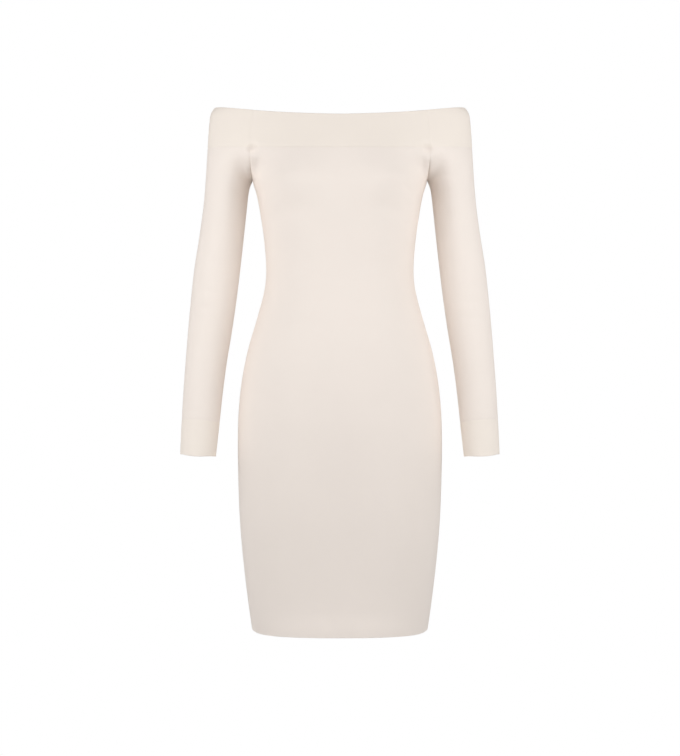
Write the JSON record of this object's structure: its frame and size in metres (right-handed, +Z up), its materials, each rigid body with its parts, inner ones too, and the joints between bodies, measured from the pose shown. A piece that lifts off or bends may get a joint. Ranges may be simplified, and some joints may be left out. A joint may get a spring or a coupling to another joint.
{
  "type": "off-shoulder dress",
  "caption": "Fitted knee-length jersey dress with a wide off-shoulder neckband and long cuffed sleeves, filled out as worn and hollow.",
  "frame": {"origin": "middle of the neck opening, level with its edge at the centre of the front", "axes": "+Z up from hem to neck, the front faces -Y, the wearer's left is +X"},
  "size_m": [0.5202, 0.2399, 0.8578],
  "materials": {
    "jersey": "matt fine-knit stretch jersey, single",
    "jersey_band": "matt fine-knit stretch jersey, doubled"
  },
  "bodies": {
    "root": {"front": "jersey", "back": "jersey", "left_sleeve": "jersey", "right_sleeve": "jersey", "front_neckband": "jersey_band", "back_neckband": "jersey_band", "left_sleeve_neckband": "jersey_band", "right_sleeve_neckband": "jersey_band", "left_cuff": "jersey_band", "right_cuff": "jersey_band"}
  },
  "joints": []
}
